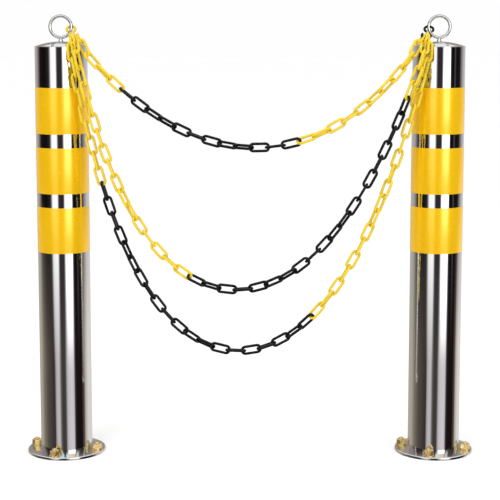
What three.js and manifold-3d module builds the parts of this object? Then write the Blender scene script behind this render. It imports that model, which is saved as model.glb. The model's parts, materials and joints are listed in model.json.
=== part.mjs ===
// A pair of fixed steel chain posts with three swags of plastic chain hooked between them.
// Millimetres, +Z up, +X along the chain, -Y towards the front. The origin is on the floor, midway
// between the two posts.
import * as THREE from "three";
import { mergeVertices } from "three/addons/utils/BufferGeometryUtils.js";
import Module from "manifold-3d";

const wasm = await Module();
wasm.setup();

// Driving dimensions.
const postSpacing = 822;
const fitGap = 0.3;
const flange = { diameter: 172, thickness: 6, boltCircle: 144, holeDiameter: 14 };
const tube = { diameter: 114, wall: 2, length: 895 };
const cap = { rise: 10.7, sheet: 2, spigotDepth: 16, seatRadius: 6 };
const ring = { outside: 53, wire: 6.5, stand: 4.8, footRadius: 5.5 };
const band = { height: 100, film: 0.6, bottoms: { lower: 453, middle: 583, upper: 713 } };
const anchor = { stud: 12, standsProud: 4, washerDiameter: 24, washer: 2.5, nutAcross: 19, nut: 10 };
const anchorAngles = { left: 165, front: 255, right: 345, back: 75 };

// The S-hook leans forward out of the ring, and a little towards the other post.
const hook = { wire: 5.5, loopRadius: 9.5, loopSpacing: 22, tipAngle: 195, lean: 50, tilt: 20 };
const ringContactAngle = 12;

// The chain's core is the plain rod, a little thicker than a link's own, that stands for the links.
const chain = { core: 7, step: 21, startGap: 3.9, catenaryPoints: 32 };
// Each strand, across the hook and down over the post's shoulder to its own upright plane.
// Distances across are from the post's axis towards the other post. drift is how far the lowest
// point lies from the middle, and links counts the yellow, black and yellow lengths.
const strands = {
  upper: {
    exit: 41, edge: 48, bend: 57, hang: 64, plane: -66, lowest: 686, drift: 13, links: [5, 12, 11],
  },
  middle: {
    exit: 33.5, edge: 36, bend: 39, hang: 42, plane: -75, lowest: 378, drift: -30, links: [18, 20, 5],
  },
  lower: {
    exit: 26, edge: 28, bend: 29, hang: 30, plane: -61, lowest: 240, drift: -24, links: [10, 20, 20],
  },
};
const edgeRun = { y: -47, z: 913 };
const bendRun = { back: 5, z: 903 };
const hangHeight = 885;

// Heights that follow from the dimensions above.
const tubeRadius = tube.diameter / 2;
const tubeTop = flange.thickness + tube.length;
const domeFoot = tubeTop + fitGap;
const domeRadius = (tubeRadius ** 2 + cap.rise ** 2) / (2 * cap.rise);
const domeHeight = (radius) =>
  domeFoot + cap.rise - domeRadius + Math.sqrt(domeRadius ** 2 - radius ** 2);
const ringSeat = domeHeight(cap.seatRadius) + fitGap;
const ringCentre = ringSeat + ring.stand + ring.outside / 2;
const ringRadius = (ring.outside - ring.wire) / 2;

const roundSides = 36;
const rodSides = 12;
const wireSides = 8;
const radians = THREE.MathUtils.degToRad;

const materials = {
  steel: new THREE.MeshStandardMaterial({ color: 0xd8dadc, metalness: 1, roughness: 0.08 }),
  film: new THREE.MeshStandardMaterial({ color: 0xf6b500, metalness: 0, roughness: 0.22 }),
  zinc: new THREE.MeshStandardMaterial({ color: 0xc9a040, metalness: 0.9, roughness: 0.35 }),
  yellow: new THREE.MeshStandardMaterial({ color: 0xf7b800, metalness: 0, roughness: 0.35 }),
  black: new THREE.MeshStandardMaterial({ color: 0x17171b, metalness: 0, roughness: 0.35 }),
};

// A solid of revolution about Z. The profile's [radius, height] pairs run anticlockwise, with the
// axis on the left.
function turned(profile, sides = roundSides) {
  const points = profile.map(([radius, height]) => new THREE.Vector2(radius, height));
  return new THREE.LatheGeometry(points, sides).rotateX(Math.PI / 2);
}

function sleeve(inner, outer, bottom, top) {
  return turned([[inner, bottom], [outer, bottom], [outer, top], [inner, top], [inner, bottom]]);
}

function polygon(radius, sides, x = 0, y = 0, turn = 0) {
  return Array.from({ length: sides }, (_, index) => {
    const angle = turn + (2 * Math.PI * index) / sides;
    return new THREE.Vector2(x + radius * Math.cos(angle), y + radius * Math.sin(angle));
  });
}

// A flat plate of even thickness with round or polygonal holes.
function plate(outline, holes, thickness) {
  const shape = new THREE.Shape(outline);
  shape.holes = holes.map((hole) => new THREE.Path(hole));
  return new THREE.ExtrudeGeometry(shape, { depth: thickness, bevelEnabled: false });
}

function rodAlong(path, diameter, steps) {
  const section = new THREE.Shape(polygon(diameter / 2, wireSides));
  return new THREE.ExtrudeGeometry(section, { steps, extrudePath: path });
}

function toSolid(geometry) {
  const bare = geometry.clone();
  bare.deleteAttribute("normal");
  bare.deleteAttribute("uv");
  const merged = mergeVertices(bare, 1e-4);
  const vertProperties = new Float32Array(merged.attributes.position.array);
  const triVerts = new Uint32Array(merged.index.array);
  return new wasm.Manifold(new wasm.Mesh({ numProp: 3, vertProperties, triVerts }));
}

function joined(first, second) {
  const mesh = toSolid(first).add(toSolid(second)).getMesh();
  const geometry = new THREE.BufferGeometry();
  geometry.setAttribute("position", new THREE.BufferAttribute(mesh.vertProperties, 3));
  geometry.setIndex(new THREE.BufferAttribute(mesh.triVerts, 1));
  geometry.computeVertexNormals();
  return geometry;
}

function named(name, geometry, material) {
  const mesh = new THREE.Mesh(geometry, material);
  mesh.name = name;
  return mesh;
}

function anchorPlaces() {
  return Object.entries(anchorAngles).map(([place, degrees]) => {
    const reach = flange.boltCircle / 2;
    const angle = radians(degrees);
    return { place, angle, x: reach * Math.cos(angle), y: reach * Math.sin(angle) };
  });
}

function flangeGeometry() {
  const holeRadius = flange.holeDiameter / 2;
  const holes = anchorPlaces().map(({ x, y }) => polygon(holeRadius, rodSides, x, y));
  return plate(polygon(flange.diameter / 2, roundSides), holes, flange.thickness);
}

// The pressed dome and its spigot, which centres it in the tube.
function capGeometry() {
  const spigotOuter = tubeRadius - tube.wall - fitGap;
  const spigotInner = spigotOuter - cap.sheet;
  const foot = tubeTop - cap.spigotDepth;
  const under = [0, 20, 38].map((radius) => [radius, domeHeight(radius) - cap.sheet]);
  const over = [48, 36, 24, 12, cap.seatRadius].map((radius) => [radius, domeHeight(radius)]);
  return turned([
    ...under,
    [spigotInner, domeHeight(spigotInner) - cap.sheet],
    [spigotInner, foot],
    [spigotOuter, foot],
    [spigotOuter, domeFoot],
    [tubeRadius, domeFoot],
    ...over,
    [0, domeHeight(cap.seatRadius)],
  ]);
}

// A closed wire ring standing on its welded foot, its face to the front.
function ringGeometry() {
  const wire = ring.wire / 2;
  const loop = new THREE.TorusGeometry(ringRadius, wire, wireSides, 28).rotateX(Math.PI / 2);
  loop.translate(0, 0, ringCentre);
  const footHeight = ring.stand + wire;
  const foot = new THREE.CylinderGeometry(wire, ring.footRadius, footHeight, rodSides);
  foot.rotateX(Math.PI / 2).translate(0, 0, ringSeat + footHeight / 2);
  return joined(loop, foot);
}

function anchorMeshes(post) {
  const onFlange = flange.thickness;
  const onWasher = onFlange + anchor.washer;
  const studTop = onWasher + anchor.nut + anchor.standsProud;
  const boreRadius = anchor.stud / 2 + 2 * fitGap;
  const nutRadius = anchor.nutAcross / 2 / Math.cos(Math.PI / 6);
  return anchorPlaces().flatMap(({ place, angle, x, y }) => {
    const bore = polygon(boreRadius, rodSides);
    const washerOutline = polygon(anchor.washerDiameter / 2, 2 * wireSides);
    const nutOutline = polygon(nutRadius, 6, 0, 0, angle);
    const studLength = studTop - fitGap;
    const stud = new THREE.CylinderGeometry(anchor.stud / 2, anchor.stud / 2, studLength, rodSides);
    stud.rotateX(Math.PI / 2).translate(0, 0, fitGap + studLength / 2);
    const pieces = {
      stud,
      washer: plate(washerOutline, [bore], anchor.washer).translate(0, 0, onFlange),
      nut: plate(nutOutline, [bore], anchor.nut).translate(0, 0, onWasher),
    };
    return Object.entries(pieces).map(([piece, geometry]) => {
      const mesh = named(`${post}_${place}_anchor_${piece}`, geometry, materials.zinc);
      mesh.position.set(x, y, 0);
      return mesh;
    });
  });
}

// The hook's centre line as [across, along] pairs in its own plane, from the middle of the upper
// loop: an S whose halves are the same curve turned half round.
function hookOutline() {
  const { loopRadius, loopSpacing, tipAngle } = hook;
  const leave = THREE.MathUtils.radToDeg(Math.asin((2 * loopRadius) / loopSpacing));
  const arcSteps = 16;
  const upper = Array.from({ length: arcSteps + 1 }, (_, index) => {
    const angle = radians(tipAngle - ((tipAngle + leave) * index) / arcSteps);
    return [loopRadius * Math.cos(angle), -loopRadius * Math.sin(angle)];
  });
  const lower = upper.map(([across, along]) => [-across, loopSpacing - along]).reverse();
  return [...upper, ...lower];
}

// The hook's plane holds the X direction and the line that leans forward and down from the ring.
function hookFrame(inward) {
  const lean = radians(hook.lean);
  const tilt = radians(hook.tilt);
  const down = new THREE.Vector3(0, -Math.sin(lean), -Math.cos(lean));
  const across = new THREE.Vector3(inward, 0, 0);
  const contact = radians(ringContactAngle);
  const start = new THREE.Vector3(
    inward * ringRadius * Math.cos(contact), 0, ringCentre - ringRadius * Math.sin(contact),
  );
  const rideInLoop = hook.loopRadius - (ring.wire + hook.wire + 2 * fitGap) / 2 / Math.sin(lean);
  const centre = start.addScaledVector(down, rideInLoop);
  const along = across.clone().multiplyScalar(Math.sin(tilt)).addScaledVector(down, Math.cos(tilt));
  const side = across.clone().multiplyScalar(Math.cos(tilt)).addScaledVector(down, -Math.sin(tilt));
  return { centre, along, side };
}

function hookGeometry(inward) {
  const { centre, along, side } = hookFrame(inward);
  const points = hookOutline().map(([across, down]) =>
    centre.clone().addScaledVector(side, across).addScaledVector(along, down));
  return rodAlong(new THREE.CatmullRomCurve3(points), hook.wire, 44);
}

// The lower loop's lowest point, which carries the chain.
function hookSeat(inward) {
  const { centre, along } = hookFrame(inward);
  return centre.addScaledVector(along, hook.loopSpacing + hook.loopRadius);
}

// The catenary's scale for a half span and a sag, by halving.
function catenaryScale(halfSpan, sag) {
  let low = halfSpan / 20;
  let high = halfSpan * 20;
  for (let turn = 0; turn < 60; turn += 1) {
    const middle = (low + high) / 2;
    const tooDeep = middle * (Math.cosh(halfSpan / middle) - 1) > sag;
    if (tooDeep) low = middle;
    else high = middle;
  }
  return (low + high) / 2;
}

// A strand's centre line from hook to hook: forward over the shoulder, then a hanging catenary
// whose lowest point drifts sideways.
function strandRoute(strand) {
  const seat = hookSeat(1);
  const reach = postSpacing / 2;
  const shoulder = [
    [strand.exit, seat.y - chain.startGap, seat.z],
    [strand.edge, edgeRun.y, edgeRun.z],
    [strand.bend, strand.plane + bendRun.back, bendRun.z],
  ];
  const halfSpan = reach - strand.hang;
  const sag = hangHeight - strand.lowest;
  const scale = catenaryScale(halfSpan, sag);
  const swag = Array.from({ length: chain.catenaryPoints + 1 }, (_, index) => {
    const share = (2 * index) / chain.catenaryPoints - 1;
    const x = halfSpan * share;
    const rise = scale * (Math.cosh(x / scale) - 1);
    const z = strand.lowest + rise;
    return new THREE.Vector3(x + strand.drift * (1 - rise / sag), strand.plane, z);
  });
  const left = shoulder.map(([across, y, z]) => new THREE.Vector3(across - reach, y, z));
  const right = shoulder.map(([across, y, z]) => new THREE.Vector3(reach - across, y, z)).reverse();
  const route = new THREE.CatmullRomCurve3([...left, ...swag, ...right], false, "centripetal");
  route.arcLengthDivisions = 2000;
  return route;
}

function stretchOf(route, start, end) {
  const steps = Math.ceil((end - start) / chain.step);
  const total = route.getLength();
  const points = Array.from({ length: steps + 1 }, (_, index) =>
    route.getPointAt(Math.min(1, (start + ((end - start) * index) / steps) / total)));
  return rodAlong(new THREE.CatmullRomCurve3(points), chain.core, steps);
}

function strandMeshes(name, strand) {
  const route = strandRoute(strand);
  const pitch = route.getLength() / strand.links.reduce((sum, count) => sum + count, 0);
  const stretches = ["left_yellow", "black", "right_yellow"];
  let linksBefore = 0;
  return stretches.map((stretch, index) => {
    const start = linksBefore * pitch + (index > 0 ? fitGap : 0);
    linksBefore += strand.links[index];
    const material = stretch === "black" ? materials.black : materials.yellow;
    const geometry = stretchOf(route, start, linksBefore * pitch);
    return named(`${name}_strand_${stretch}`, geometry, material);
  });
}

function postGroup(post) {
  const inner = tubeRadius - tube.wall;
  const filmInner = tubeRadius + fitGap;
  const group = new THREE.Group();
  group.add(
    named(`${post}_base_flange`, flangeGeometry(), materials.steel),
    named(`${post}_tube`, sleeve(inner, tubeRadius, flange.thickness, tubeTop), materials.steel),
    named(`${post}_domed_cap`, capGeometry(), materials.steel),
    named(`${post}_ring_eye`, ringGeometry(), materials.steel),
    ...Object.entries(band.bottoms).map(([place, bottom]) => {
      const film = sleeve(filmInner, filmInner + band.film, bottom, bottom + band.height);
      return named(`${post}_${place}_band`, film, materials.film);
    }),
    ...anchorMeshes(post),
  );
  return group;
}

const set = new THREE.Group();
const posts = {
  left: { side: -1, hookMaterial: materials.yellow },
  right: { side: 1, hookMaterial: materials.black },
};
for (const [post, { side, hookMaterial }] of Object.entries(posts)) {
  const group = postGroup(post);
  group.add(named(`${post}_s_hook`, hookGeometry(-side), hookMaterial));
  group.position.x = (side * postSpacing) / 2;
  set.add(group);
}
for (const [name, strand] of Object.entries(strands)) {
  set.add(...strandMeshes(name, strand));
}

export default set;
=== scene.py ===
"""The looks of a pair of polished steel chain posts and the plastic chain that hangs between them."""

import json
import math
import random

import bmesh
import bpy
from mathutils import Matrix, Vector

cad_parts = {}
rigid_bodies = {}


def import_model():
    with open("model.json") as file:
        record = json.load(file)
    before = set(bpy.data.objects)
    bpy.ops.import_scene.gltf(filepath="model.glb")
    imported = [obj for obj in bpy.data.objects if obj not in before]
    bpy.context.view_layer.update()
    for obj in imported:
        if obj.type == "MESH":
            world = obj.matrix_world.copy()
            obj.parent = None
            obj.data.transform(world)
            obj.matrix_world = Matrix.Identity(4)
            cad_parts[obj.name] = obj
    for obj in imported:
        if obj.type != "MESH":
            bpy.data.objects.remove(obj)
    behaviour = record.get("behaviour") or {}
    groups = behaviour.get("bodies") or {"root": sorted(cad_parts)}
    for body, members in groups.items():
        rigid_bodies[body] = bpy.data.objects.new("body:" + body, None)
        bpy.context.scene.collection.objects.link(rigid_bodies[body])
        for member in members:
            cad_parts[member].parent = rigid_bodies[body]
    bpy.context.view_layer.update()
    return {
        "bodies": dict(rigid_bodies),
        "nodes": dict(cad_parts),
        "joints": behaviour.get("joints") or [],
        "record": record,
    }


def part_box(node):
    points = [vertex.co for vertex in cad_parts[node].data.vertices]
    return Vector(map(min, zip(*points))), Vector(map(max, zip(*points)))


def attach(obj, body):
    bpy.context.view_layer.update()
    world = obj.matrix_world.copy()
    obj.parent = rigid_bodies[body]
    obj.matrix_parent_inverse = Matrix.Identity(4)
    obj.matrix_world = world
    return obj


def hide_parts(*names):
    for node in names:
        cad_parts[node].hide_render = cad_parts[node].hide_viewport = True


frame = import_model()

# ---------------------------------------------------------------- sizes, in metres

MM = 0.001
FIT_GAP = 0.3 * MM
POSTS = {"left": -1, "right": 1}
TUBE_LOW, TUBE_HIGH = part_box("right_tube")
POST_REACH = (TUBE_LOW.x + TUBE_HIGH.x) / 2
TUBE_RADIUS = (TUBE_HIGH.x - TUBE_LOW.x) / 2
TUBE_WALL = 2 * MM
ROUND_SIDES = 160
BANDS = ("lower", "middle", "upper")
FILM_INSIDE, FILM_OUTSIDE = TUBE_RADIUS + 0.05 * MM, TUBE_RADIUS + 0.45 * MM
FLANGE_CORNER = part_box("right_base_flange")[1]
FLANGE_RADIUS = FLANGE_CORNER.x - POST_REACH
DOME_FOOT = TUBE_HIGH.z + FIT_GAP
DOME_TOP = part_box("right_domed_cap")[1].z
DOME_SHOULDER = 1.2 * MM

RING_OUTSIDE = 26.5 * MM
RING_WIRE = 6.5 * MM
RING_RADIUS = RING_OUTSIDE - RING_WIRE / 2
RING_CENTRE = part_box("right_ring_eye")[1].z - RING_OUTSIDE
WELD_NECK, WELD_SPREAD = 3 * MM, 2.5 * MM

ANCHOR_CIRCLE = 72 * MM
ANCHOR_ANGLES = {"left": 165, "front": 255, "right": 345, "back": 75}
ANCHOR_BORE = 7 * MM
THREAD_PITCH = 1.75 * MM
THREAD_DEPTH = 0.55 * THREAD_PITCH
THREAD_START = 6 * MM
WASHER_BORE, WASHER_RADIUS = 6.6 * MM, 12 * MM
NUT_BORE, NUT_FLAT = 5.9 * MM, 9.5 * MM
NUT_SIDES = 72

# The S-hook: two like loops in one plane, which leans forward out of the ring.
HOOK_WIRE = 5.5 * MM
HOOK_LOOP = 9.5 * MM
HOOK_SPACING = 22 * MM
HOOK_TIP = 195
HOOK_LEAN = math.radians(50)
HOOK_TILT = math.radians(20)
RING_CONTACT = math.radians(12)

# The chain's links and, for each strand, the route that its centre line takes (see strand_points).
LINK_WIRE = 6.0 * MM
LINK_WIDTH = 21.5 * MM
LINK_CORNER = 7.0 * MM
LINK_SIDES = 12
LINK_RIDGE = 1.05
CHAIN_START = 3.9 * MM
SWAG_POINTS = 32
HANG_HEIGHT = 885 * MM
EDGE_RUN = Vector((0, -47, 913)) * MM
BEND_BACK, BEND_HEIGHT = 5 * MM, 903 * MM
# A twist is how far the chain has turned at a link, in degrees, beyond the quarter turn from each
# link to the next. The seat is where the first link's end lies in the hook's loop, across and along.
STRANDS = {
    "upper": {
        "across": (41, 48, 57, 64), "plane": -66, "lowest": 686, "drift": 13, "links": (5, 12, 11),
        "seat": (3.3, 1.9),
        "twist": (
            (0, 90), (4, 180), (6, 186), (9, 262), (11, 278), (14, 352), (16, 365), (19, 445), (27, 540),
        ),
    },
    "middle": {
        "across": (33.5, 36, 39, 42), "plane": -75, "lowest": 378, "drift": -30, "links": (18, 20, 5),
        "seat": (0, -3.8),
        "twist": (
            (0, -90), (6, -8), (10, 8), (13, 75), (17, 98), (20, 172), (22, 188), (25, 262), (27, 275),
            (30, 352), (35, 368), (42, 450),
        ),
    },
    "lower": {
        "across": (26, 28, 29, 30), "plane": -61, "lowest": 240, "drift": -24, "links": (10, 20, 20),
        "seat": (-3.3, 1.9),
        "twist": (
            (0, 90), (13, 96), (18, 172), (20, 188), (23, 262), (27, 275), (32, 354), (36, 366), (41, 442),
            (45, 455), (49, 540),
        ),
    },
}
LENGTHS = ("left_yellow", "black", "right_yellow")
LOOSENESS = 5

# ---------------------------------------------------------------- camera

VIEW_DISTANCE = 3.2
VIEW_HEIGHT = 0.97
VIEW_WIDTH = 1.106
VIEW_MIDDLE = 0.453
VIEW_SHIFT = 0.12
VIEW_END = 50


def make_camera():
    """Level with the posts' tops and looking a little down, partly by shift, so the posts stay upright."""
    data = bpy.data.cameras.new("camera")
    drop = math.atan((VIEW_HEIGHT - VIEW_MIDDLE) / VIEW_DISTANCE)
    reach = math.hypot(VIEW_DISTANCE, VIEW_HEIGHT - VIEW_MIDDLE)
    data.lens = data.sensor_width * reach / VIEW_WIDTH
    data.shift_y = -VIEW_SHIFT
    data.clip_end = VIEW_END
    pitch = drop - math.atan(VIEW_SHIFT * data.sensor_width / data.lens)
    camera = bpy.data.objects.new("camera", data)
    camera.location = (0, -VIEW_DISTANCE, VIEW_HEIGHT)
    camera.rotation_euler = (math.pi / 2 - pitch, 0, 0)
    bpy.context.scene.collection.objects.link(camera)
    bpy.context.scene.camera = camera
    bpy.context.scene.view_settings.view_transform = "Standard"


make_camera()

# ---------------------------------------------------------------- shader building


class Socket:
    """A shader output that arithmetic works on: an expression on sockets adds its Math nodes."""

    def __init__(self, shader, output):
        self.shader = shader
        self.output = output

    def math(self, operation, first, second):
        return self.shader.node("ShaderNodeMath", {"operation": operation}, {0: first, 1: second})

    def __add__(self, other):
        return self.math("ADD", self, other)

    def __radd__(self, other):
        return self.math("ADD", other, self)

    def __sub__(self, other):
        return self.math("SUBTRACT", self, other)

    def __rsub__(self, other):
        return self.math("SUBTRACT", other, self)

    def __mul__(self, other):
        return self.math("MULTIPLY", self, other)

    def __rmul__(self, other):
        return self.math("MULTIPLY", other, self)

    def __truediv__(self, other):
        return self.math("DIVIDE", self, other)

    def __rtruediv__(self, other):
        return self.math("DIVIDE", other, self)


class Shader:
    """A node tree under construction."""

    def __init__(self, tree):
        self.tree = tree
        tree.nodes.clear()

    def node(self, kind, settings=None, sockets=None, output=0):
        """Adds a node: its settings first, then its sockets' values or links. Gives back its output, or
        the node where it has none."""
        made = self.tree.nodes.new(kind)
        for name, value in (settings or {}).items():
            if name == "stops":
                self.set_stops(made.color_ramp, value)
            else:
                setattr(made, name, value)
        for name, value in (sockets or {}).items():
            if isinstance(value, Socket):
                self.tree.links.new(value.output, made.inputs[name])
            else:
                made.inputs[name].default_value = value
        return Socket(self, made.outputs[output]) if len(made.outputs) else made

    @staticmethod
    def set_stops(ramp, stops):
        while len(ramp.elements) > 1:
            ramp.elements.remove(ramp.elements[-1])
        for index, (place, colour) in enumerate(stops):
            element = ramp.elements[0] if index == 0 else ramp.elements.new(place)
            element.position = place
            element.color = colour if len(colour) == 4 else (*colour, 1)

    def place(self):
        return self.node("ShaderNodeTexCoord", output="Object")

    def parts(self, vector):
        """A vector's three numbers."""
        split = self.node("ShaderNodeSeparateXYZ", None, {0: vector}).output.node
        return [Socket(self, number) for number in split.outputs]

    def noise(self, scale, detail=4, roughness=0.5, where=None):
        where = where or self.place()
        sockets = {"Vector": where, "Scale": scale, "Detail": detail, "Roughness": roughness}
        return self.node("ShaderNodeTexNoise", None, sockets)

    def stretched(self, factors):
        """The object's own coordinates, scaled unequally."""
        settings = {"operation": "MULTIPLY"}
        return self.node("ShaderNodeVectorMath", settings, {0: self.place(), 1: factors})

    def span(self, value, low, high, new_low=0.0, new_high=1.0):
        sockets = {"Value": value, 1: low, 2: high, 3: new_low, 4: new_high}
        return self.node("ShaderNodeMapRange", {"clamp": True}, sockets)

    def mix(self, factor, first, second):
        sockets = {0: factor, 6: first, 7: second}
        return self.node("ShaderNodeMix", {"data_type": "RGBA"}, sockets, output=2)

    def bump(self, height, strength, distance):
        sockets = {"Height": height, "Strength": strength, "Distance": distance}
        return self.node("ShaderNodeBump", None, sockets)


def finish_of(name, build):
    """A material whose build function returns the Principled shader's sockets."""
    material = bpy.data.materials.new(name)
    material.use_nodes = True
    shader = Shader(material.node_tree)
    surface = shader.node("ShaderNodeBsdfPrincipled", None, build(shader))
    shader.node("ShaderNodeOutputMaterial", None, {"Surface": surface})
    return material


def polished_steel(shader):
    """Mirror steel: long faint polishing lines round the tube, and a breath of handling haze."""
    lines = shader.noise(90, 6, 0.6, shader.stretched((1, 1, 14)))
    haze = shader.noise(9, 5, 0.55)
    rough = 0.035 + 0.05 * shader.span(haze, 0.45, 0.75) + 0.02 * lines
    tint = shader.mix(haze, (0.80, 0.795, 0.79, 1), (0.86, 0.86, 0.865, 1))
    return {
        "Base Color": tint,
        "Metallic": 1.0,
        "Roughness": rough,
        "Normal": shader.bump(lines, 0.02, 0.0002),
    }


def drawn_steel(shader):
    """The ring's brighter, less mirror-like wire, with the die's fine lines and a painted dark reflection
    along its sides.
    """
    lines = shader.noise(260, 4)
    tint = shader.mix(lines, (0.92, 0.92, 0.92, 1), (0.99, 0.99, 0.99, 1))
    # Painted dark reflection: the base colour goes near black where the wire is seen edge-on, standing in
    # for the dark studio that the steel would reflect there.
    edge = shader.node("ShaderNodeLayerWeight", None, {"Blend": 0.5}, output="Facing")
    return {
        "Base Color": shader.mix(shader.span(edge, 0.16, 0.42), tint, (0.03, 0.03, 0.03, 1)),
        "Metallic": 0.92,
        "Roughness": 0.05 + 0.05 * lines,
        "Normal": shader.bump(lines, 0.02, 0.0001),
    }


def reflective_film(shader):
    """Glossy yellow sheeting with a fine honeycomb of glass beads under a clear face."""
    cells = shader.node(
        "ShaderNodeTexVoronoi", {"feature": "DISTANCE_TO_EDGE"}, {"Vector": shader.place(), "Scale": 420},
    )
    walls = shader.span(cells, 0.02, 0.09)
    patches = shader.noise(30, 2)
    deep = shader.mix(patches, (0.98, 0.49, 0.0, 1), (0.99, 0.53, 0.0, 1))
    return {
        "Base Color": shader.mix(walls, deep, (1.0, 0.60, 0.004, 1)),
        "Metallic": 0.32,
        "Roughness": 0.24 + 0.05 * patches,
        "Specular IOR Level": 0.05,
        "Coat Weight": 1.0,
        "Coat IOR": 1.6,
        "Coat Roughness": 0.18,
        "Normal": shader.bump(patches, 0.03, 0.0004),
    }


def zinc_gold(shader):
    """Yellow passivated zinc: straw gold with greenish and rosy drifts."""
    drift = shader.noise(140, 2)
    grain = shader.noise(1800, 2)
    colour = shader.node(
        "ShaderNodeValToRGB",
        {"stops": [(0.3, (0.78, 0.47, 0.16)), (0.5, (0.92, 0.68, 0.30)), (0.7, (0.80, 0.74, 0.36))]},
        {"Fac": drift},
    )
    return {
        "Base Color": colour,
        "Metallic": 0.9,
        "Roughness": 0.2 + 0.1 * grain,
        "Normal": shader.bump(grain, 0.03, 0.0001),
    }


def moulded_plastic(dark, light, rough, gloss):
    """Injection-moulded plastic in one colour, with slight flow marks and a fine-grained skin."""

    def build(shader):
        flow = shader.noise(70, 4, 0.6)
        skin = shader.noise(1500, 2)
        return {
            "Base Color": shader.mix(shader.span(flow, 0.3, 0.7), dark, light),
            "Roughness": rough + 0.12 * flow,
            "Specular IOR Level": gloss,
            "Normal": shader.bump(skin * 0.4 + flow, 0.12, 0.0002),
        }

    return build


STEEL = finish_of("polished_steel", polished_steel)
WIRE = finish_of("drawn_steel", drawn_steel)
FILM = finish_of("reflective_yellow", reflective_film)
ZINC = finish_of("zinc_anchor", zinc_gold)
YELLOW = finish_of(
    "chain_yellow",
    moulded_plastic((0.70, 0.49, 0.010, 1), (0.82, 0.60, 0.020, 1), rough=0.24, gloss=0.5),
)
BLACK = finish_of(
    "chain_black",
    moulded_plastic((0.003, 0.003, 0.004, 1), (0.008, 0.008, 0.01, 1), rough=0.22, gloss=0.26),
)

# ---------------------------------------------------------------- mesh building


SHARP = 35
WELD_DISTANCE = 0.001 * MM
ON_AXIS = 0.0001 * MM


def smooth(work, sharp):
    """Smooth faces, with edges kept hard past the given angle in degrees."""
    limit = math.radians(sharp)
    for edge in work.edges:
        edge.smooth = len(edge.link_faces) == 2 and edge.calc_face_angle(0) < limit
    for face in work.faces:
        face.smooth = True


def piece(name, vertices, faces, material, slot, sharp=SHARP):
    """An object of one mesh, its faces turned outwards."""
    mesh = bpy.data.meshes.new(name)
    mesh.from_pydata([tuple(vertex) for vertex in vertices], [], faces)
    work = bmesh.new()
    work.from_mesh(mesh)
    bmesh.ops.recalc_face_normals(work, faces=work.faces)
    smooth(work, sharp)
    work.to_mesh(mesh)
    work.free()
    mesh.materials.append(material)
    made = bpy.data.objects.new(name, mesh)
    bpy.context.scene.collection.objects.link(made)
    return made


def lathe(profile, sides, centre=(0, 0)):
    """A profile of (radius, height) turned about Z. Points on the axis become poles. A profile that
    doesn't start and end on the axis closes on itself."""
    vertices, rings = [], []
    for radius, height in profile:
        if radius < ON_AXIS:
            rings.append([len(vertices)] * sides)
            vertices.append((centre[0], centre[1], height))
            continue
        rings.append(list(range(len(vertices), len(vertices) + sides)))
        for side in range(sides):
            angle = 2 * math.pi * side / sides
            x = centre[0] + radius * math.cos(angle)
            y = centre[1] + radius * math.sin(angle)
            vertices.append((x, y, height))
    spans = list(zip(rings, rings[1:]))
    if max(profile[0][0], profile[-1][0]) >= ON_AXIS:
        spans.append((rings[-1], rings[0]))
    faces = []
    for low, high in spans:
        for side in range(sides):
            after = (side + 1) % sides
            corners = [low[side], low[after], high[after], high[side]]
            faces.append(tuple(dict.fromkeys(corners)))
    return vertices, faces


def rounded(corners, steps=5):
    """A profile from (radius, height, fillet) corners, with the fillets as arcs."""
    points = [Vector((radius, height)) for radius, height, _ in corners]
    profile = []
    for index, (radius, height, fillet) in enumerate(corners):
        if fillet <= 0:
            profile.append((radius, height))
            continue
        here = points[index]
        before = (points[index - 1] - here).normalized()
        after = (points[(index + 1) % len(points)] - here).normalized()
        half = before.angle(after) / 2
        setback = fillet / math.tan(half)
        start, end = here + before * setback, here + after * setback
        middle = here + (before + after).normalized() * (fillet / math.sin(half))
        spoke = start - middle
        turn = spoke.angle_signed(end - middle)
        for step in range(steps + 1):
            arm = spoke.copy()
            arm.rotate(Matrix.Rotation(-turn * step / steps, 2))
            profile.append(tuple(middle + arm))
    return profile


def sweep(points, radius, sides, closed=False, section=None):
    """A rod along points. An open rod ends in half balls. A section scales the radius side by side."""
    count = len(points)
    section = section or [1.0] * sides
    tangents = []
    for index in range(count):
        ahead = points[(index + 1) % count] if closed or index + 1 < count else points[index]
        behind = points[index - 1] if closed or index > 0 else points[index]
        tangents.append((ahead - behind).normalized())
    normal = tangents[0].orthogonal().normalized()
    frames = []
    for index, tangent in enumerate(tangents):
        normal = (normal - tangent * normal.dot(tangent)).normalized()
        frames.append((points[index], normal.copy(), tangent.cross(normal), 1.0))
    if not closed:
        frames = end_rings(frames, tangents, radius)
    vertices, faces = [], []
    for centre, across, up, scale in frames:
        for side in range(sides):
            angle = 2 * math.pi * side / sides
            arm = across * math.cos(angle) + up * math.sin(angle)
            vertices.append(centre + arm * radius * scale * section[side])
    rings = len(frames)
    for ring in range(rings if closed else rings - 1):
        for side in range(sides):
            after = (side + 1) % sides
            low, high = ring * sides, ((ring + 1) % rings) * sides
            faces.append((low + side, low + after, high + after, high + side))
    if not closed:
        faces.append(tuple(range(sides))[::-1])
        faces.append(tuple(range((rings - 1) * sides, rings * sides)))
    return vertices, faces


def end_rings(frames, tangents, radius, steps=4):
    """Adds the shrinking rings that round off both ends of an open rod, each to a small flat."""

    def ball(frame, direction):
        centre, across, up, _ = frame
        rings = []
        for step in range(1, steps + 1):
            angle = math.pi / 2 * step / (steps + 0.3)
            rings.append((centre + direction * radius * math.sin(angle), across, up, math.cos(angle)))
        return rings

    return ball(frames[0], -tangents[0])[::-1] + frames + ball(frames[-1], tangents[-1])


def joined_solids(name, first, second, material, slot, operation):
    """Two solids, each given as vertices and faces, as one mesh by a boolean."""
    made = piece(name, *first, material, slot)
    tool = piece(name + "_tool", *second, material, slot)
    modifier = made.modifiers.new("join", "BOOLEAN")
    modifier.operation = operation
    modifier.solver = "EXACT"
    modifier.object = tool
    apply_modifiers(made)
    bpy.data.objects.remove(tool)
    healed(made.data)
    return made


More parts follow.
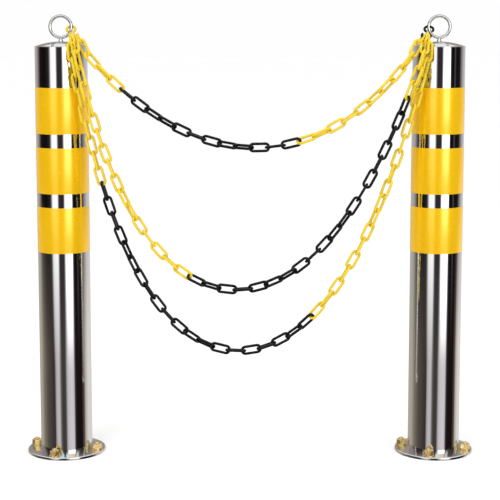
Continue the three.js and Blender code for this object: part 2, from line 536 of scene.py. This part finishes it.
def apply_modifiers(made):
    """Puts the object's finished shape in place of its mesh and modifiers."""
    graph = bpy.context.evaluated_depsgraph_get()
    graph.update()
    mesh = bpy.data.meshes.new_from_object(made.evaluated_get(graph))
    made.modifiers.clear()
    made.data = mesh


def healed(mesh):
    """Joins the points that a boolean leaves doubled, and marks the hard edges anew."""
    work = bmesh.new()
    work.from_mesh(mesh)
    bmesh.ops.remove_doubles(work, verts=work.verts, dist=WELD_DISTANCE)
    smooth(work, SHARP)
    work.to_mesh(mesh)
    work.free()


def merged(solids):
    """Several solids as one list of vertices and one of faces."""
    vertices, faces = [], []
    for more_vertices, more_faces in solids:
        start = len(vertices)
        vertices.extend(more_vertices)
        faces.extend(tuple(corner + start for corner in face) for face in more_faces)
    return vertices, faces


# ---------------------------------------------------------------- chain


def catenary_scale(half_span, sag):
    """The scale of the catenary that sags so far over that half span, by halving."""
    low, high = half_span / 20, half_span * 20
    for _ in range(60):
        middle = (low + high) / 2
        if middle * (math.cosh(half_span / middle) - 1) > sag:
            low = middle
        else:
            high = middle
    return (low + high) / 2


def hook_frame(inward):
    """The S-hook's origin, and its directions across and along, for the post on that side."""
    down = Vector((0, -math.sin(HOOK_LEAN), -math.cos(HOOK_LEAN)))
    across = Vector((inward, 0, 0))
    start = Vector((
        inward * RING_RADIUS * math.cos(RING_CONTACT), 0,
        RING_CENTRE - RING_RADIUS * math.sin(RING_CONTACT),
    ))
    ride = HOOK_LOOP - (RING_WIRE + HOOK_WIRE + 2 * FIT_GAP) / 2 / math.sin(HOOK_LEAN)
    along = across * math.sin(HOOK_TILT) + down * math.cos(HOOK_TILT)
    side = across * math.cos(HOOK_TILT) - down * math.sin(HOOK_TILT)
    return start + down * ride, along, side


def hook_seat(inward):
    """The middle of the wire at the lower loop's lowest point, from the post's axis."""
    centre, along, _ = hook_frame(inward)
    return centre + along * (HOOK_SPACING + HOOK_LOOP)


def strand_points(strand):
    """Forward from the hook over the post's shoulder, then a catenary whose lowest point drifts."""
    seat = hook_seat(1)
    exit_x, edge_x, bend_x, hang_x = (value * MM for value in strand["across"])
    plane, lowest = strand["plane"] * MM, strand["lowest"] * MM
    shoulder = [
        (exit_x, seat.y - CHAIN_START, seat.z),
        (edge_x, EDGE_RUN.y, EDGE_RUN.z),
        (bend_x, plane + BEND_BACK, BEND_HEIGHT),
    ]
    half_span = POST_REACH - hang_x
    sag = HANG_HEIGHT - lowest
    scale = catenary_scale(half_span, sag)
    swag = []
    for index in range(SWAG_POINTS + 1):
        x = half_span * (2 * index / SWAG_POINTS - 1)
        rise = scale * (math.cosh(x / scale) - 1)
        drift = strand["drift"] * MM * (1 - rise / sag)
        swag.append(Vector((x + drift, plane, lowest + rise)))
    left = [Vector((x - POST_REACH, y, z)) for x, y, z in shoulder]
    right = [Vector((POST_REACH - x, y, z)) for x, y, z in reversed(shoulder)]
    return left + swag + right


def smooth_route(points, steps=16):
    """A centripetal Catmull-Rom curve through the points, as many short steps."""
    ends = [2 * points[0] - points[1], *points, 2 * points[-1] - points[-2]]
    route = [points[0].copy()]
    for a, b, c, d in zip(ends, ends[1:], ends[2:], ends[3:]):
        ab, bc, cd = (math.sqrt((q - p).length) for p, q in ((a, b), (b, c), (c, d)))
        leave = ((b - a) / ab - (c - a) / (ab + bc) + (c - b) / bc) * bc
        arrive = ((c - b) / bc - (d - b) / (bc + cd) + (d - c) / cd) * bc
        for step in range(1, steps + 1):
            t = step / steps
            route.append(
                b * (2 * t**3 - 3 * t**2 + 1) + leave * (t**3 - 2 * t**2 + t)
                + c * (3 * t**2 - 2 * t**3) + arrive * (t**3 - t**2)
            )
    return route


class Route:
    """A polyline measured along its length, run out straight past both ends."""

    def __init__(self, points):
        self.points = points
        self.marks = [0.0]
        for before, after in zip(points, points[1:]):
            self.marks.append(self.marks[-1] + (after - before).length)
        self.length = self.marks[-1]

    def at(self, distance):
        if distance <= 0:
            return self.points[0] + (self.points[1] - self.points[0]).normalized() * distance
        if distance >= self.length:
            past = (self.points[-1] - self.points[-2]).normalized()
            return self.points[-1] + past * (distance - self.length)
        low, high = 0, len(self.marks) - 1
        while high - low > 1:
            middle = (low + high) // 2
            if self.marks[middle] <= distance:
                low = middle
            else:
                high = middle
        share = (distance - self.marks[low]) / (self.marks[high] - self.marks[low])
        return self.points[low].lerp(self.points[high], share)

    def step_from(self, point, distance, step):
        """The distance along the route, past the given one, of a place a straight step from a point."""
        low, high = distance, distance + 2 * step
        for _ in range(40):
            middle = (low + high) / 2
            if (self.at(middle) - point).length < step:
                low = middle
            else:
                high = middle
        return high


def chain_joints(route, first, last, count):
    """The points where the links hook into each other, one pitch apart, from one hook to the other."""
    low, high = route.length / count * 0.8, route.length / count * 1.2
    for _ in range(40):
        pitch = (low + high) / 2
        joints, mark = [first], 0
        for _ in range(count - 1):
            mark = route.step_from(joints[-1], mark, pitch)
            joints.append(route.at(mark))
        if mark > route.length or (joints[-1] - last).length < pitch:
            high = pitch
        else:
            low = pitch
    return [*joints, last], pitch


def turned_so_far(twist, number):
    """The chain's twist in degrees at a link, between the ones that are given."""
    for (before, start), (after, end) in zip(twist, twist[1:]):
        if number <= after:
            return start + (end - start) * (number - before) / (after - before)
    return twist[-1][1]


def loop_seat(inward, seat, towards):
    """Where an end link bears in the hook's lower loop, on the side that the strand pulls towards."""
    centre, along, side = hook_frame(inward)
    bar = centre + along * (HOOK_SPACING + seat[1] * MM) + side * seat[0] * MM
    bar.x -= inward * POST_REACH
    return bar + (towards - bar).normalized() * LINK_WIRE / 2


def link_outline(pitch):
    """A link's centre line as a closed rounded rectangle, long side along X."""
    half_length = (pitch + LINK_WIRE) / 2
    half_width = (LINK_WIDTH - LINK_WIRE) / 2
    corner_steps, side_steps = 6, 3
    points = []
    for index, (sx, sy) in enumerate(((1, 1), (-1, 1), (-1, -1), (1, -1))):
        centre = Vector((sx * (half_length - LINK_CORNER), sy * (half_width - LINK_CORNER), 0))
        for step in range(corner_steps + 1):
            angle = math.pi / 2 * (index + step / corner_steps)
            points.append(centre + Vector((math.cos(angle), math.sin(angle), 0)) * LINK_CORNER)
        if index % 2 == 0:
            for step in range(1, side_steps):
                x = sx * (half_length - LINK_CORNER) * (1 - 2 * step / side_steps)
                points.append(Vector((x, sy * half_width, 0)))
    return points


def link_mesh(pitch):
    """One link, its rod round but for the fine mould line along its outer and inner middle."""
    section = [LINK_RIDGE if side in (0, LINK_SIDES // 2) else 1.0 for side in range(LINK_SIDES)]
    return sweep(link_outline(pitch), LINK_WIRE / 2, LINK_SIDES, closed=True, section=section)


def placed_link(mesh, start, end, roll):
    """The link's mesh between two points of the route, turned about that line."""
    along = (end - start).normalized()
    side = along.cross(Vector((0, 1, 0))).normalized()
    face = side.cross(along)
    turn = Matrix.Rotation(roll, 3, along)
    side, face = turn @ side, turn @ face
    middle = (start + end) / 2
    vertices, faces = mesh
    return [middle + along * v.x + side * v.y + face * v.z for v in vertices], faces


def make_strand(name, strand, seed):
    """A strand from hook to hook as three cords of links, yellow, black and yellow."""
    route = Route(smooth_route(strand_points(strand)))
    first = loop_seat(1, strand["seat"], route.at(0))
    last = loop_seat(-1, strand["seat"], route.at(route.length))
    joints, pitch = chain_joints(route, first, last, sum(strand["links"]))
    mesh = link_mesh(pitch)
    chance = random.Random(seed)
    placed = 0
    for part, count in zip(LENGTHS, strand["links"]):
        links = []
        for number in range(placed, placed + count):
            turn = 90 * number + turned_so_far(strand["twist"], number)
            turn = math.radians(turn + chance.uniform(-LOOSENESS, LOOSENESS))
            links.append(placed_link(mesh, joints[number], joints[number + 1], turn))
        path = joints[placed:placed + count + 1]
        placed += count
        material, slot = (BLACK, "chain_black") if part == "black" else (YELLOW, "chain_yellow")
        made = piece(f"{name}_{part}_chain", *merged(links), material, slot)
        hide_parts(f"{name}_strand_{part}")
        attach(made, f"{name}_strand")
        count * pitch


for number, (strand_name, strand_facts) in enumerate(STRANDS.items()):
    make_strand(strand_name, strand_facts, number)

# ---------------------------------------------------------------- hooks


def hook_outline():
    """The S-hook's centre line as (across, along) in its plane."""
    leave = math.degrees(math.asin(2 * HOOK_LOOP / HOOK_SPACING))
    arc_steps = 28
    upper = []
    for step in range(arc_steps + 1):
        angle = math.radians(HOOK_TIP - (HOOK_TIP + leave) * step / arc_steps)
        upper.append((HOOK_LOOP * math.cos(angle), -HOOK_LOOP * math.sin(angle)))
    lower = [(-across, HOOK_SPACING - along) for across, along in reversed(upper)]
    return upper + lower


def make_hook(post, side, material, slot):
    """One S-hook, hung from the ring on its post's inward side."""
    centre, along, across = hook_frame(-side)
    centre = centre + Vector((side * POST_REACH, 0, 0))
    points = [centre + across * x + along * y for x, y in hook_outline()]
    made = piece(f"{post}_hook_moulding", *sweep(points, HOOK_WIRE / 2, 20), material, slot)
    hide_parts(f"{post}_s_hook")
    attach(made, f"{post}_hook")


make_hook("left", -1, YELLOW, "chain_yellow")
make_hook("right", 1, BLACK, "chain_black")

# ---------------------------------------------------------------- posts

def dome_profile():
    """The cap over its seam: a shallow dome with a small rounded shoulder."""
    rise = DOME_TOP - DOME_FOOT
    dome_radius = (TUBE_RADIUS**2 + rise**2) / (2 * rise)
    seam = DOME_FOOT - 1 * MM
    inside = TUBE_RADIUS - TUBE_WALL - FIT_GAP
    flat = TUBE_RADIUS - DOME_SHOULDER
    over = []
    for step in range(25):
        reach = flat * (1 - step / 24)
        over.append((reach, DOME_TOP - dome_radius + math.sqrt(dome_radius**2 - reach**2)))
    shoulder_rise = over[0][1] - DOME_FOOT
    shoulder = []
    for step in range(6):
        angle = math.pi / 2 * step / 6
        shoulder.append((
            flat + DOME_SHOULDER * math.cos(angle),
            DOME_FOOT + shoulder_rise * (0.35 + 0.65 * math.sin(angle)),
        ))
    lip = [(0, seam), (inside, seam), (inside, DOME_FOOT), (TUBE_RADIUS - 0.2 * MM, DOME_FOOT)]
    return lip + shoulder + over


def fixed(made, node):
    """A piece that doesn't move, in place of its node."""
    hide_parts(node)
    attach(made, "root")


def make_tube(post, middle):
    """The open tube, its top edge just broken."""
    bottom, top = TUBE_LOW.z, TUBE_HIGH.z
    inside = TUBE_RADIUS - TUBE_WALL
    wall = rounded([
        (inside, bottom, 0), (TUBE_RADIUS, bottom, 0), (TUBE_RADIUS, top, 0.4 * MM), (inside, top, 0),
    ])
    tube = lathe(wall, ROUND_SIDES, middle)
    fixed(piece(f"{post}_polished_tube", *tube, STEEL, "polished_steel"), f"{post}_tube")


def make_cap(post, middle):
    """The pressed dome that closes the tube."""
    cap = lathe(dome_profile(), ROUND_SIDES, middle)
    fixed(piece(f"{post}_pressed_cap", *cap, STEEL, "polished_steel"), f"{post}_domed_cap")


def make_film(post, middle, place):
    """One band of film round the tube."""
    low, high = (corner.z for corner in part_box(f"{post}_{place}_band"))
    sleeve = rounded([
        (FILM_INSIDE, low, 0), (FILM_OUTSIDE, low, 0.2 * MM),
        (FILM_OUTSIDE, high, 0.2 * MM), (FILM_INSIDE, high, 0),
    ])
    film = lathe(sleeve, ROUND_SIDES, middle)
    fixed(piece(f"{post}_{place}_film", *film, FILM, "reflective_yellow"), f"{post}_{place}_band")


def anchor_place(middle, degrees):
    """Where an anchor stands on its post's bolt circle."""
    angle = math.radians(degrees)
    return middle[0] + ANCHOR_CIRCLE * math.cos(angle), ANCHOR_CIRCLE * math.sin(angle)


def make_flange(post, middle):
    """The base disc with its rounded rim, drilled for the anchors."""
    top = FLANGE_CORNER.z
    disc = rounded([
        (0, 0, 0), (FLANGE_RADIUS, 0, 0.8 * MM), (FLANGE_RADIUS, top, 2 * MM), (0, top, 0),
    ])
    drill = [(0, -top), (ANCHOR_BORE, -top), (ANCHOR_BORE, 2 * top), (0, 2 * top)]
    drills = merged(lathe(drill, 40, anchor_place(middle, degrees)) for degrees in ANCHOR_ANGLES.values())
    made = joined_solids(
        f"{post}_round_base", lathe(disc, ROUND_SIDES, middle), drills, STEEL, "polished_steel",
        "DIFFERENCE",
    )
    fixed(made, f"{post}_base_flange")


def make_ring(post, middle):
    """The ring eye and its weld, one piece."""
    centre = Vector((middle[0], 0, RING_CENTRE))
    steps = 120
    circle = []
    for step in range(steps):
        angle = 2 * math.pi * step / steps
        circle.append(centre + Vector((math.cos(angle), 0, math.sin(angle))) * RING_RADIUS)
    seat = DOME_TOP + FIT_GAP
    rise = RING_CENTRE - RING_RADIUS - seat
    weld_steps = 8
    weld = [(0, seat)]
    for step in range(weld_steps + 1):
        share = step / weld_steps
        weld.append((WELD_NECK + WELD_SPREAD * (1 - share) ** 2, seat + rise * share))
    weld.append((0, seat + rise))
    made = joined_solids(
        f"{post}_ring", sweep(circle, RING_WIRE / 2, 28, closed=True), lathe(weld, 40, middle),
        WIRE, "polished_steel", "UNION",
    )
    fixed(made, f"{post}_ring_eye")


def stud_profile(low, high, radius):
    """A stud with its thread as close V grooves and a chamfered end."""
    root = radius - THREAD_DEPTH
    height = low + THREAD_START
    profile = [(0, low), (radius, low), (radius, height)]
    while height + THREAD_PITCH < high - 1 * MM:
        profile.append((root, height + THREAD_PITCH / 2))
        height += THREAD_PITCH
        profile.append((radius, height))
    return [*profile, (root, high - 0.4 * MM), (root - 1 * MM, high), (0, high)]


def nut_solid(centre, low, high, turn):
    """A hexagon nut with chamfered corners, bored clear of its stud."""
    corner = NUT_FLAT / math.cos(math.pi / 6)
    face = 0.98 * NUT_FLAT
    vertices, faces = [], []
    for side in range(NUT_SIDES):
        angle = 2 * math.pi * side / NUT_SIDES
        wall = NUT_FLAT / math.cos((angle + math.pi / 6) % (math.pi / 3) - math.pi / 6)
        chamfer = (0.1 + 0.9 * (wall - NUT_FLAT) / (corner - NUT_FLAT)) * MM
        section = [
            (NUT_BORE, low), (face, low), (wall, low + chamfer),
            (wall, high - chamfer), (face, high), (NUT_BORE, high),
        ]
        count = len(section)
        here, after = side * count, (side + 1) % NUT_SIDES * count
        for step, (radius, height) in enumerate(section):
            x = centre[0] + radius * math.cos(angle + turn)
            y = centre[1] + radius * math.sin(angle + turn)
            vertices.append((x, y, height))
            up = (step + 1) % count
            faces.append((here + step, after + step, after + up, here + up))
    return vertices, faces


def make_anchor(post, middle, place, degrees):
    """A stud with its washer and nut."""
    centre = anchor_place(middle, degrees)

    def fitted(name, solid, node, sharp=SHARP):
        made = piece(f"{post}_{place}_{name}", *solid, ZINC, "zinc_anchor", sharp)
        fixed(made, f"{post}_{place}_anchor_{node}")

    low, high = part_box(f"{post}_{place}_anchor_stud")
    radius = (high.x - low.x) / 2 - 0.2 * MM
    fitted("stud_thread", lathe(stud_profile(low.z, high.z, radius), 32, centre), "stud", 20)
    low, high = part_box(f"{post}_{place}_anchor_washer")
    washer = rounded([
        (WASHER_BORE, low.z, 0.3 * MM), (WASHER_RADIUS, low.z, 0.4 * MM),
        (WASHER_RADIUS, high.z, 0.7 * MM), (WASHER_BORE, high.z, 0.3 * MM),
    ], 3)
    fitted("plain_washer", lathe(washer, 64, centre), "washer")
    low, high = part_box(f"{post}_{place}_anchor_nut")
    fitted("hexagon_nut", nut_solid(centre, low.z, high.z, math.radians(degrees)), "nut")


def make_post(post, side):
    """One post with its bands and anchors."""
    middle = (side * POST_REACH, 0)
    make_tube(post, middle)
    make_cap(post, middle)
    make_flange(post, middle)
    make_ring(post, middle)
    for place in BANDS:
        make_film(post, middle, place)
    for place, degrees in ANCHOR_ANGLES.items():
        make_anchor(post, middle, place, degrees)


for post_name, post_side in POSTS.items():
    make_post(post_name, post_side)

# ---------------------------------------------------------------- floor and light


FLOOR_REACH = 30


def make_floor():
    """A pale floor, left out of mirror reflections so the polished steel reflects the studio."""
    corners = [(x * FLOOR_REACH, y * FLOOR_REACH, 0) for x, y in ((-1, -1), (1, -1), (1, 1), (-1, 1))]
    mesh = bpy.data.meshes.new("floor")
    mesh.from_pydata(corners, [], [(0, 1, 2, 3)])
    floor = bpy.data.objects.new("floor", mesh)
    bpy.context.scene.collection.objects.link(floor)

    def matt(shader):
        cloud = shader.noise(2, 2)
        return {
            "Base Color": shader.mix(cloud, (0.965, 0.965, 0.965, 1), (0.985, 0.985, 0.985, 1)),
            "Roughness": 0.9,
            "Specular IOR Level": 0.1,
        }

    mesh.materials.append(finish_of("floor", matt))
    floor.visible_glossy = False


# Studio panels as mirror steel sees them: azimuth from the front in degrees, and brightness or colour.
# One list for each height of the steel's outlook: downward, level and upward.
LOW_PANELS = [
    (-180, (0.50, 0.47, 0.40)), (-125, (0.44, 0.41, 0.34)), (-105, (0.22, 0.20, 0.15)),
    (-80, (0.10, 0.08, 0.07)), (-50, (0.05, 0.04, 0.035)), (-43, (0.04, 0.035, 0.03)),
    (-37, (0.45, 0.42, 0.43)), (-27, (0.62, 0.58, 0.60)), (-21, (0.52, 0.49, 0.51)),
    (-14, (0.12, 0.11, 0.10)), (-6, (0.05, 0.045, 0.04)), (6, (0.07, 0.06, 0.055)),
    (11, (0.40, 0.37, 0.38)), (16, (0.62, 0.59, 0.61)), (31, (0.72, 0.69, 0.71)), (42, (0.66, 0.63, 0.66)),
    (48, (0.05, 0.035, 0.045)), (56, (0.012, 0.008, 0.008)), (82, (0.012, 0.006, 0.006)),
    (96, (0.12, 0.09, 0.09)), (104, (0.52, 0.48, 0.45)), (124, (0.80, 0.77, 0.73)),
    (180, (0.72, 0.68, 0.64)),
]
LEVEL_PANELS = [
    (-180, (0.62, 0.60, 0.57)), (-125, (0.42, 0.39, 0.37)), (-110, (0.16, 0.14, 0.13)),
    (-100, (0.015, 0.01, 0.01)), (-74, (0.004, 0.003, 0.002)), (-60, (0.012, 0.011, 0.012)),
    (-50, (0.03, 0.028, 0.03)), (-45, (0.30, 0.28, 0.28)), (-40, (1.15, 1.15, 1.15)),
    (-19, (1.3, 1.3, 1.3)), (-14, (0.20, 0.19, 0.19)), (-11, (0.03, 0.025, 0.03)),
    (8, (0.03, 0.024, 0.03)), (12, (0.5, 0.5, 0.5)),
    (15, (1.6, 1.6, 1.6)), (22, (3.4, 3.4, 3.4)), (41, (3.4, 3.4, 3.4)), (45, (1.4, 1.4, 1.4)),
    (48, (0.06, 0.06, 0.06)), (53, (0.006, 0.005, 0.006)), (64, (0.004, 0.004, 0.004)),
    (67, (0.06, 0.06, 0.06)), (72, (0.05, 0.05, 0.05)), (76, (0.004, 0.004, 0.004)),
    (98, (0.012, 0.010, 0.012)), (112, (0.26, 0.23, 0.23)), (126, (0.50, 0.46, 0.46)),
    (150, (0.66, 0.63, 0.62)), (180, (0.62, 0.60, 0.57)),
]
HIGH_PANELS = [
    (-180, (0.34, 0.30, 0.29)), (-110, (0.30, 0.26, 0.25)), (-88, (0.05, 0.04, 0.04)),
    (-56, (0.10, 0.07, 0.05)), (-50, (0.85, 0.95, 0.95)), (-38, (0.95, 1.0, 1.0)),
    (-33, (0.20, 0.12, 0.08)), (-28, (0.40, 0.80, 1.0)), (-8, (0.72, 0.95, 1.0)),
    (-4, (0.01, 0.04, 0.12)), (2, (0.01, 0.04, 0.12)),
    (6, (0.95, 0.98, 0.90)), (22, (1.0, 0.92, 0.62)), (34, (1.0, 0.70, 0.50)), (40, (1.0, 0.94, 0.70)),
    (48, (0.30, 0.32, 0.36)), (56, (1.0, 0.98, 0.92)), (66, (0.10, 0.07, 0.06)), (92, (0.08, 0.06, 0.06)),
    (112, (0.30, 0.26, 0.25)), (180, (0.34, 0.30, 0.29)),
]


def make_world():
    """Soft white all round for matt surfaces; upright light and dark panels for mirror surfaces."""
    world = bpy.data.worlds.new("studio")
    world.use_nodes = True
    bpy.context.scene.world = world
    shader = Shader(world.node_tree)
    direction = shader.node("ShaderNodeTexCoord", output="Generated")
    x, y, z = shader.parts(direction)
    azimuth = x.math("ARCTAN2", x, 0 - y) / (2 * math.pi) + 0.5

    def panels(stops):
        marks = [((degrees + 180) / 360, colour) for degrees, colour in stops]
        return shader.node("ShaderNodeValToRGB", {"stops": marks}, {"Fac": azimuth})

    seen = shader.mix(shader.span(z, -0.06, -0.20), panels(LEVEL_PANELS), panels(LOW_PANELS))
    seen = shader.mix(shader.span(z, -0.42, -0.55), seen, (0.03, 0.03, 0.032, 1))
    seen = shader.mix(shader.span(z, 0.14, 0.22), seen, panels(HIGH_PANELS))
    seen = shader.mix(shader.span(z, 0.40, 0.52), seen, (0.95, 0.95, 0.96, 1))
    glossy = shader.node("ShaderNodeLightPath", output="Is Glossy Ray")
    camera = shader.node("ShaderNodeLightPath", output="Is Camera Ray")
    soft = shader.mix(camera, (1.03, 1.03, 1.03, 1), (0.99, 0.99, 0.99, 1))
    colour = shader.mix(glossy, soft, seen)
    background = shader.node("ShaderNodeBackground", None, {"Color": colour, "Strength": 1.0})
    shader.node("ShaderNodeOutputWorld", None, {"Surface": background})


LIGHT_AIM = Vector((0, 0, 0.5))


def make_light(name, place, size, power):
    """A soft square light aimed at the posts' middle height, not itself seen in the steel."""
    data = bpy.data.lights.new(name, "AREA")
    data.size = size
    data.energy = power
    light = bpy.data.objects.new(name, data)
    light.location = place
    light.rotation_euler = (LIGHT_AIM - Vector(place)).to_track_quat("-Z", "Y").to_euler()
    light.visible_glossy = False
    bpy.context.scene.collection.objects.link(light)


make_floor()
make_world()
make_light("key", (-1.6, -2.6, 3.2), 1.6, 40)
make_light("fill", (2.4, -2.0, 1.8), 2.0, 20)
